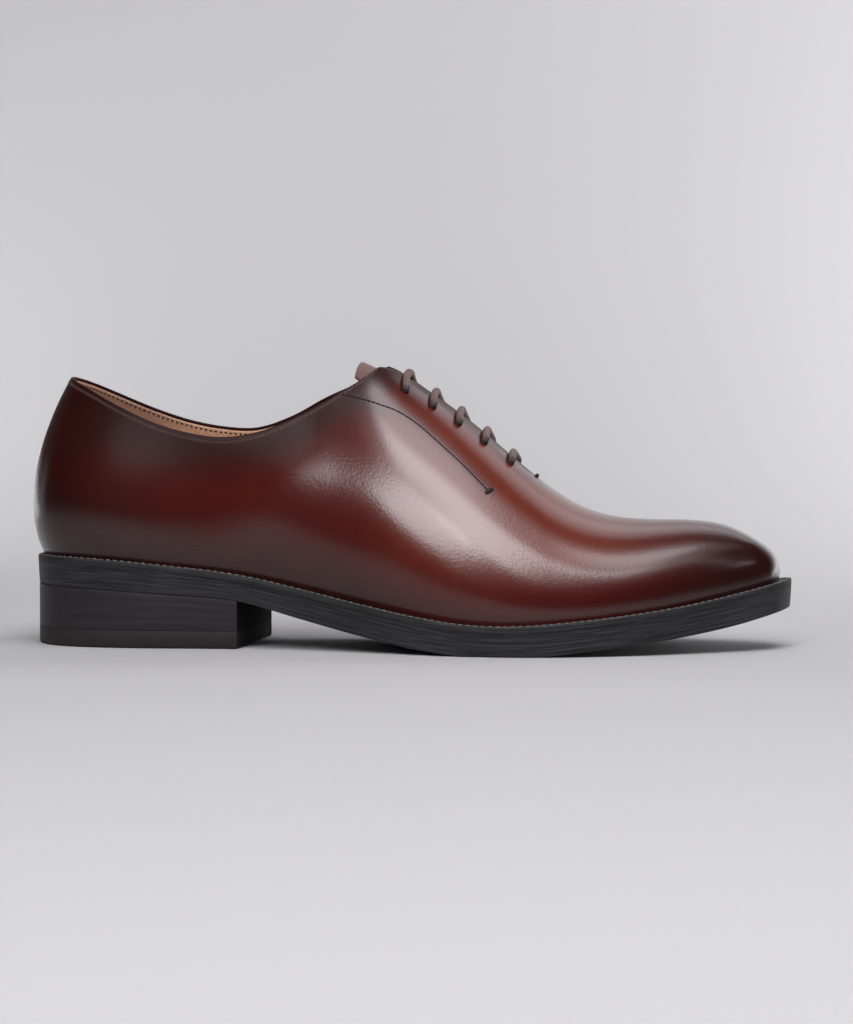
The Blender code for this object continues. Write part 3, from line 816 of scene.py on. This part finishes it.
threads = make_piece("upper_threads", points, faces,
                     thread_material("waxed_thread", THREAD_LIGHT, THREAD_DARK))
topline_v = collar_rim - TOPLINE_DROP / collar_speed
points, faces = wall_row(collar_t, topline_v, *TOPLINE_STITCH, slant=TOPLINE_SLANT)
topline = make_piece("topline_threads", points, faces,
                     thread_material("topline_thread", TOPLINE_LIGHT, TOPLINE_DARK))


# Tongue
# A thin sheet of the same hide with its rough side up at the end, stitched in at the foot of the
# throat and lying under both facings.
TONGUE_DEPTH = 2.45
TONGUE_THICK = 1.4
TONGUE_LOW = 208.0
TONGUE_TOP = 151.0
TONGUE_RISE = 13.8
TONGUE_TIP_WIDTH = 0.70
TONGUE_TIP_LAYBACK = 0.23
TONGUE_HALF_LOW = 17.0
TONGUE_HALF_TOP = 18.0
TONGUE_ROUNDING = 0.35
TONGUE_LIGHT = (0.150, 0.072, 0.062, 1.0)
TONGUE_DARK = (0.085, 0.036, 0.030, 1.0)


def tongue_material():
    """Napped dusty rose-brown leather."""
    material, shader, place = new_material("napped_tongue")
    nap = noise(place, 1400.0, 4.0, 0.65)
    shade = (nap + noise(place, 160.0, 3.0)) * 0.5
    feed(shader, {
        "Base Color": mix_colours(shade, TONGUE_DARK, TONGUE_LIGHT),
        "Roughness": nap * 0.2 + 0.7,
        "Sheen Weight": 0.3,
        "Normal": bump(nap, 0.00015),
    })
    return material


def tongue_grid():
    """Sheet under the facings, offset inwards from the face, then a narrowing end that climbs past them."""
    x = np.linspace(TONGUE_TOP, TONGUE_LOW, 40)
    t = place_at_ridge(x)
    half = np.interp(x, (TONGUE_TOP, TONGUE_LOW), (TONGUE_HALF_TOP, TONGUE_HALF_LOW))
    columns = []
    shares = np.concatenate([np.linspace(1.0, 0.2, 9), [0.09]])
    for place, line in ((t, shares), (2 * TOE - t, shares[::-1])):
        for share in line:
            v = share_below_rim(place, half * share)
            columns.append(wall(place, v) - wall_frame(place, v)[0] * TONGUE_DEPTH)
    grid = np.stack(columns, 1)
    width = len(columns)
    centre = grid[:2, width // 2 - 1:width // 2 + 1].mean(axis=1)
    climb = unit(centre[0] - centre[1]) + (-TONGUE_TIP_LAYBACK, 0.0, 0.0)
    rise = np.linspace(1, 0, 13)[:-1, None, None]
    width = 1 - (1 - TONGUE_TIP_WIDTH) * rise
    end = centre[0] + (grid[0] - centre[0]) * width + climb * TONGUE_RISE * rise
    return np.concatenate([end, grid])


grid = tongue_grid()
tongue = make_piece("tongue_sheet", grid.reshape(-1, 3), grid_faces(*grid.shape[:2])[:, ::-1],
                    tongue_material())
thick = tongue.modifiers.new("thickness", "SOLIDIFY")
thick.thickness = TONGUE_THICK * MM
thick.offset = -1.0
thick.use_even_offset = True
round_edge = tongue.modifiers.new("round_edge", "BEVEL")
round_edge.width = TONGUE_ROUNDING * MM
round_edge.segments = 2
round_edge.limit_method = "ANGLE"
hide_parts("tongue")


# Laces
# Round waxed cotton lace drawn straight across the closed throat in five bars; each end turns down
# through its eyelet and stops under the facing.
LACE_RADIUS = 1.5
LACE_LIFT = 1.5
LACE_SINK = 2.2
LACE_END_SIZE = 0.6
BAR_LEAD = -1.0
BAR_STEPS = np.array([0.35, 0.55, 0.78, 1.0])
BRAID_STRANDS = 4
BRAID_TURN = 2.6
LACE_LIGHT = (0.190, 0.124, 0.112, 1.0)
# Painted shade in the grooves between the braid's strands
LACE_GROOVE_SHADE = (0.026, 0.016, 0.014, 1.0)
# Painted shade on the lace ends inside the eyelets
LACE_SHADE = (0.010, 0.006, 0.006, 1.0)


def lace_material():
    """Braided cotton: two sets of slanting strands round the cord, waxed and a little uneven, with painted
    shade in the grooves between strands and at the ends in the eyelets.
    """
    material, shader, place = new_material("waxed_lace")
    around, along, _ = split(own_map(place, "braid"))
    around = around * (BRAID_STRANDS * 2 * math.pi)
    along = along * BRAID_TURN
    strand = calc("MAXIMUM", calc("SINE", around + along), calc("SINE", around - along))
    strand = (strand + 1.0) * 0.5
    fuzz = noise(place, 2600.0, 3.0)
    # Lace colour on the strands, painted shade in the grooves between them, and some uneven tone from the
    # fuzz.
    colour = mix_colours(fade((strand + fuzz) * 0.5, 0.35, 0.8), LACE_GROOVE_SHADE, LACE_LIGHT)
    # Painted shade: the lace darkens near each end, where it goes down into its eyelet.
    from_end = split(own_map(place, "ends"))[0]
    colour = mix_colours(fade(from_end, 5.0, 2.2), colour, LACE_SHADE)
    feed(shader, {"Base Color": colour, "Roughness": fuzz * 0.25 + 0.45, "Normal": bump(strand, 0.00022)})
    return material


def lace_path(k):
    """Route of one bar: up out of the outer eyelet, over both facings, down the inner eyelet."""
    ridge = place_at_ridge(EYELET_X[k] + BAR_LEAD)
    angle = np.linspace(0, math.pi / 2, 5)[:, None]
    halves = []
    for end, (place, v, points, normals) in zip((ridge, 2 * TOE - ridge), EYELETS):
        t = place[k] + (end - place[k]) * BAR_STEPS
        share = v[k] + (1 - v[k]) * BAR_STEPS
        over = wall(t, share) + wall_frame(t, share)[0] * LACE_LIFT
        start, up = points[k], normals[k]
        ahead = over[0] - start
        ahead = unit(ahead - up * (ahead @ up))
        bend = start + up * LACE_LIFT * np.sin(angle) + ahead * LACE_LIFT * (1 - np.cos(angle))
        halves.append(np.vstack([[start - up * LACE_SINK], [start - up * 0.5 * LACE_SINK], bend, over]))
    return np.vstack([halves[0], halves[1][::-1]])


def tube(path, radius, around, smooth_steps):
    """Circle carried along a smooth curve through the path's points, with rounded closed ends."""
    run = np.concatenate([[0.0], np.sqrt(np.linalg.norm(np.diff(path, axis=0), axis=1)).cumsum()])
    slopes = np.gradient(path, run, axis=0)
    line, ahead = hermite(run, path, slopes, np.linspace(0, run[-1], smooth_steps))
    ahead = unit(ahead)
    side = unit(np.array([1.0, 0.0, 0.0]) - ahead * ahead[:, :1])
    up = np.cross(ahead, side)
    angle = np.linspace(0, 2 * math.pi, around, endpoint=False)
    circle = side[:, None] * np.cos(angle)[:, None] + up[:, None] * np.sin(angle)[:, None]
    size = np.full(len(line), radius)
    size[[0, -1]] *= LACE_END_SIZE
    points = line[:, None] + circle * size[:, None, None]
    length = run_along(line)
    cap = np.arange(around)
    faces = grid_faces(len(line), around, closed=True).tolist()
    faces += [cap[::-1].tolist(), (cap + (len(line) - 1) * around).tolist()]
    braid = np.stack(np.broadcast_arrays(np.abs(angle / math.pi - 1)[None], length[:, None]), -1)
    ends = np.repeat(np.minimum(length, length[-1] - length), around)
    return points.reshape(-1, 3), faces, braid.reshape(-1, 2), np.column_stack([ends, ends])


lace_finish = lace_material()
for k in range(len(EYELET_X)):
    points, faces, braid, ends = tube(lace_path(k), LACE_RADIUS, around=16, smooth_steps=72)
    bar = make_piece("lace_%d" % (k + 1), points, faces, lace_finish, {"braid": braid, "ends": ends})
    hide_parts("lace_bar_%d" % (k + 1))


# Insole sock
# Tan leather sock glued on the footbed, slightly dished, filling the floor of the shoe from lining
# to lining.
SOCK_MARGIN = WALL + 0.3
SOCK_DISH = 0.8
SOCK_ROUNDING = 0.4
INSOLE_RISE = 2.2
WELT_THICK = 3.2
CAP_STEPS = 13


def below_welt(drop):
    """Height of so much under the top of the welt, as a function of x."""
    return lambda x: welt_height(x) - drop


def ring(t, inset, height):
    """Outline at places t, at an inset of so many margins plus millimetres and a height of x."""
    margin = outline(t, 0.0)[2][:, 1]
    plan = outline(t, margin * inset[0] + inset[1])[0]
    return np.column_stack([plan, height(plan[:, 0])])


def side_rings(t, inset, height):
    """The ring's outer side and its inner side."""
    return ring(t, inset, height), ring(2 * TOE - t, inset, height)


def cap_grid(outer, inner, height, dish=0.0):
    """Floor between the two sides: straight across in plan, at the height of x less a parabolic dish."""
    share = np.linspace(0, 1, CAP_STEPS)[:, None, None]
    grid = outer[None] * (1 - share) + inner[None] * share
    hollow = dish * 4 * share[..., 0] * (1 - share[..., 0])
    grid[..., 2] = height(grid[..., 0]) - hollow
    return grid


def loop_band(t, rows):
    """Side wall of a slab: the outline at each inset and height, round the whole loop."""
    return np.array([ring(both_sides(t), *row) for row in rows])


def along_map(band):
    """Corner map values in millimetres: along the loop, and up the band."""
    rise = np.linalg.norm(np.diff(band, axis=0), axis=2).mean(axis=1).cumsum()
    rise = np.concatenate([[0.0], rise])
    return np.stack(np.broadcast_arrays(run_along(band[0])[None], rise[:, None]), -1).reshape(-1, 2)


def closed_block(band, caps):
    """Band round a loop with its floor and lid: points, faces, and map values in millimetres."""
    parts = [(band.reshape(-1, 3), grid_faces(*band.shape[:2], closed=True).tolist())]
    parts += [(cap.reshape(-1, 3), grid_faces(*cap.shape[:2]).tolist()) for cap in caps]
    points, faces = join_rows(parts)
    band_map = along_map(band)
    return points, faces, np.vstack([band_map, points[len(band_map):, :2]])


def slab(t, rows, dish=0.0):
    """Closed slab: a band round the loop, a floor under it and a lid, dished or not, over it."""
    caps = [cap_grid(*side_rings(t, *row), row[1], hollow)
            for row, hollow in ((rows[0], 0.0), (rows[-1], dish))]
    return closed_block(loop_band(t, rows), caps)


EDGE_SIDE = np.linspace(0, TOE, 180)
sock_rows = [
    ((1, SOCK_MARGIN), below_welt(WELT_THICK - 0.1)),
    ((1, SOCK_MARGIN), below_welt(SOCK_ROUNDING - INSOLE_RISE)),
    ((1, SOCK_MARGIN + SOCK_ROUNDING), below_welt(-INSOLE_RISE)),
]
points, faces, _ = slab(EDGE_SIDE, sock_rows, SOCK_DISH)
sock = make_piece("insole_sock", points, faces, lining_material(), sharp=60)
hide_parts("insole")


# Welt
# A flat strip of black leather sewn round the foot of the upper and to the sole, with a shallow
# channel near its edge for the outsole stitches of grey thread.
WELT_LIGHT = (0.042, 0.0405, 0.042, 1.0)
WELT_DARK = (0.006, 0.0055, 0.0055, 1.0)
# Near black of the painted shade on the heel's breast
BREAST_SHADE_BLACK = (0.002, 0.002, 0.002, 1.0)


def streak_group():
    """Trimmed leather edge: long thin scratches along the edge, as one value."""
    tree, (run,), result = new_group("edge_streaks", {"Vector": "NodeSocketVector"}, ("Streak",))
    streaks = []
    for stretch, weight in (((0.03, 1.3, 1.0), 0.6), ((0.08, 2.8, 1.0), 0.4)):
        place = add_node(tree, "ShaderNodeVectorMath", {0: run, 1: stretch}, operation="MULTIPLY")[0]
        streaks.append(noise(place, 1.0, 4.0, 0.6) * weight)
    feed(result, {"Streak": streaks[0] + streaks[1]})
    return tree


STREAKS = streak_group()


def shaded_breast_mask(place, breast):
    """Mask of the painted shade on the cut face at the heel's breast, from its place along the shoe in
    metres.
    """
    return fade(split(place)[0], breast - 0.0002, breast - 0.00005)


def edge_material(name, light, dark, roughness, depth, marks=1.0, breast=None):
    """Black-dyed, waxed leather edge, scratched along by the marks; darkened by painted shade and matt at a
    breast, if any.
    """
    material, shader, place = new_material(name)
    streak = add_node(place.tree, "ShaderNodeGroup", {"Vector": own_map(place, "run")}, node_tree=STREAKS)[0]
    scratch = (fade(streak, 0.38, 0.70) - 0.5) * marks
    colour = mix_colours(scratch + 0.5 + noise(place, 70.0, 3.0) * 0.2, dark, light)
    rough = streak * 0.25 + (roughness - 0.1)
    if breast is not None:
        # Painted shade: the breast face is coloured near black, as where it lies in shadow under the sole;
        # it is also made matt.
        shaded_breast = shaded_breast_mask(place, breast)
        colour = mix_colours(shaded_breast, colour, BREAST_SHADE_BLACK)
        rough = rough + shaded_breast * 0.5
    feed(shader, {"Base Color": colour, "Roughness": rough, "Specular IOR Level": 0.22,
                  "Normal": bump(streak, depth)})
    return material


# Cross-section of the welt: inset in margins and in millimetres, and drop from its top
WELT_SECTION = (
    (1, WALL, WELT_THICK), (0, 0.06, WELT_THICK), (0, 0.0, WELT_THICK - 0.08), (0, -0.1, 1.6),
    (0, 0.0, 0.5), (0, 0.14, 0.16), (0, 0.5, 0.0), (0, 1.1, 0.05), (0, 1.4, 0.25),
    (0, 1.9, 0.25), (0, 2.2, 0.05), (1, 0.0, 0.0), (1, WALL, 0.0),
)
band = loop_band(EDGE_SIDE, [((share, inset), below_welt(drop)) for share, inset, drop in WELT_SECTION])
count = band.shape[1]
quads = grid_faces(len(band) + 1, count, closed=True) % (len(band) * count)
welt = make_piece("welt_strip", band.reshape(-1, 3), quads,
                  edge_material("black_welt", WELT_LIGHT, WELT_DARK, roughness=0.55, depth=0.00010),
                  {"run": along_map(band)}, sharp=50)
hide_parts("welt")

WELT_STITCH = (2.9, 2.494, 0.38, 0.28, 0.2)
WELT_STITCH_INSET = 1.65
WELT_STITCH_DROP = 0.12
GREY_THREAD_LIGHT = (0.22, 0.205, 0.19, 1.0)
GREY_THREAD_DARK = (0.045, 0.042, 0.040, 1.0)

line = ring(np.linspace(0, 2 * TOE, 2400), (0, WELT_STITCH_INSET), below_welt(WELT_STITCH_DROP))
at = spaced(line, WELT_STITCH[0])
along = unit(sample(line, at + 0.5) - sample(line, at - 0.5))
up = np.cross(along, np.cross(np.array([0.0, 0.0, 1.0]), along))
points, faces = stitch_row(sample(line, at), along, up, *WELT_STITCH[1:])
welt_threads = make_piece("welt_threads", points, faces,
                          thread_material("grey_thread", GREY_THREAD_LIGHT, GREY_THREAD_DARK))


# Outsole
# Thick leather sole with the arch and toe spring of the last, black waxed edges scraped smooth and
# a small bevel round the lower edge.
SOLE_LIGHT = (0.048, 0.0465, 0.049, 1.0)
SOLE_DARK = (0.008, 0.0075, 0.0075, 1.0)
SOLE_TOP = WELT_THICK + 0.02


def above_tread(rise):
    """Height of so much over the underside of the sole, as a function of x."""
    return lambda x: tread_height(x) + rise


def mid_sole(x):
    """Height half way from the tread to the foot of the welt."""
    return 0.5 * (tread_height(x) + welt_height(x) - WELT_THICK)


# Edge of the sole from the tread up: bevel, faintly bowed side, eased upper corner
SOLE_BEVEL = ((3.5, 0.0), (0.85, 0.0), (0.65, 0.1), (0.5, 0.35), (0.42, 1.1))
SOLE_CORNER = ((0.05, 0.2), (0.0, 0.07), (0.06, 0.0), (3.0, 0.0))
sole_rows = [((0, inset), above_tread(rise)) for inset, rise in SOLE_BEVEL] + [((0, 0.2), mid_sole)]
sole_rows += [((0, inset), below_welt(SOLE_TOP + drop)) for inset, drop in SOLE_CORNER]
points, faces, run_map = slab(EDGE_SIDE, sole_rows)
sole = make_piece("leather_sole", points, faces,
                  edge_material("black_sole_edge", SOLE_LIGHT, SOLE_DARK, roughness=0.5, depth=0.00014),
                  {"run": run_map}, sharp=50)
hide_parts("outsole")


# Heel
# Leather lifts pressed into a block and nailed under the seat of the sole, cut square at the
# breast, over a rubber top lift that meets the floor.
LIFT_THICK = 7.0
LIFT_BEVEL = 0.9
SEAT_GAP = 0.04
STACK_FOOT = LIFT_THICK + SEAT_GAP
LIFT_SEAMS = (0.28, 0.54, 0.78)
HEEL_BREAST = 90.0
BREAST_PLACE = (HEEL_BREAST + SHIFT[0]) * MM
HEEL_INSET = 0.42
HEEL_LIGHT = (0.034, 0.031, 0.0325, 1.0)
HEEL_DARK = (0.011, 0.010, 0.0105, 1.0)
RUBBER_LIGHT = (0.029, 0.026, 0.026, 1.0)
RUBBER_DARK = (0.015, 0.0135, 0.0135, 1.0)
# Near black of the painted shade on the top lift's breast
RUBBER_BREAST_SHADE = (0.006, 0.006, 0.006, 1.0)


def level(z):
    """The same height everywhere, as a function of x."""
    return lambda x: np.full(np.shape(x), z)


def lift_seam(share, offset):
    """Height of a seam between lifts, a share of the way up the block, as a function of x."""
    return lambda x: STACK_FOOT + (tread_height(x) - STACK_FOOT) * share + offset


def heel_slab(levels):
    """Block through rings of the heel outline, cut square at the breast, with floor and lid.

    Each level is a ring's inset past the heel's own and its height as a function of x.
    """
    fine = np.linspace(0, TOE, 800)
    end = np.interp(HEEL_BREAST, outline(fine, 0.0)[0][:, 0], fine)
    t = np.linspace(0, end, 70)
    breast = np.linspace(0, 1, CAP_STEPS)[1:-1, None]
    sides, lines = [], []
    for inset, height in levels:
        outer, inner = side_rings(t, (0, HEEL_INSET + inset), height)
        for side in (outer, inner):
            side[-1, 0] = HEEL_BREAST - inset
            side[-1, 2] = height(side[-1:, 0])[0]
        sides.append((outer, inner))
        lines.append(np.vstack([outer, outer[-1] * (1 - breast) + inner[-1] * breast, inner[:0:-1]]))
    caps = [cap_grid(*sides[i], levels[i][1]) for i in (0, -1)]
    return closed_block(np.array(lines), caps)


# Insets of the block's rings with their heights: rounded foot, a groove at each seam, rounded top
STACK_CORNER = ((0.18, 0.0), (0.05, 0.06), (0.0, 0.2))
STACK_GROOVE = ((0.0, -0.12), (0.02, 0.0), (0.0, 0.12))
STACK_TOP = ((0.0, -0.3), (0.06, -0.1), (0.3, 0.0))
stack_levels = [(inset, level(STACK_FOOT + rise)) for inset, rise in STACK_CORNER]
for share in LIFT_SEAMS:
    stack_levels += [(inset, lift_seam(share, offset)) for inset, offset in STACK_GROOVE]
stack_levels += [(inset, above_tread(rise - SEAT_GAP)) for inset, rise in STACK_TOP]
points, faces, run_map = heel_slab(stack_levels)
stack = make_piece("heel_block", points, faces,
                   edge_material("black_heel_edge", HEEL_LIGHT, HEEL_DARK, roughness=0.48, depth=0.00004,
                                 marks=0.45, breast=BREAST_PLACE),
                   {"run": run_map}, sharp=45)
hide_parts("heel_stack")


def rubber_material():
    """Moulded black rubber with a fine even bloom, darkened by painted shade and matt at the breast."""
    material, shader, place = new_material("heel_rubber")
    fine = noise(place, 1500.0, 3.0, 0.6)
    colour = mix_colours((fine + noise(place, 90.0, 3.0)) * 0.5, RUBBER_DARK, RUBBER_LIGHT)
    # Painted shade: the breast face is coloured near black, as in the shadow under the sole; it is also made
    # matt.
    shaded_breast = shaded_breast_mask(place, BREAST_PLACE)
    feed(shader, {
        "Base Color": mix_colours(shaded_breast, colour, RUBBER_BREAST_SHADE),
        "Roughness": fine * 0.25 + 0.5 + shaded_breast * 0.35,
        "Specular IOR Level": 0.25,
        "Normal": bump(fine, 0.00006),
    })
    return material


# The lift's bevel from the floor, then the block's corner upside down
LIFT_FOOT = ((LIFT_BEVEL, 0.0), (0.3, 0.3), (0.0, LIFT_BEVEL))
lift_levels = [(inset, level(rise)) for inset, rise in LIFT_FOOT]
lift_levels += [(inset, level(LIFT_THICK - rise)) for inset, rise in STACK_CORNER[::-1]]
points, faces, _ = heel_slab(lift_levels)
lift = make_piece("top_lift", points, faces, rubber_material(), sharp=45)
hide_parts("heel_top_lift")
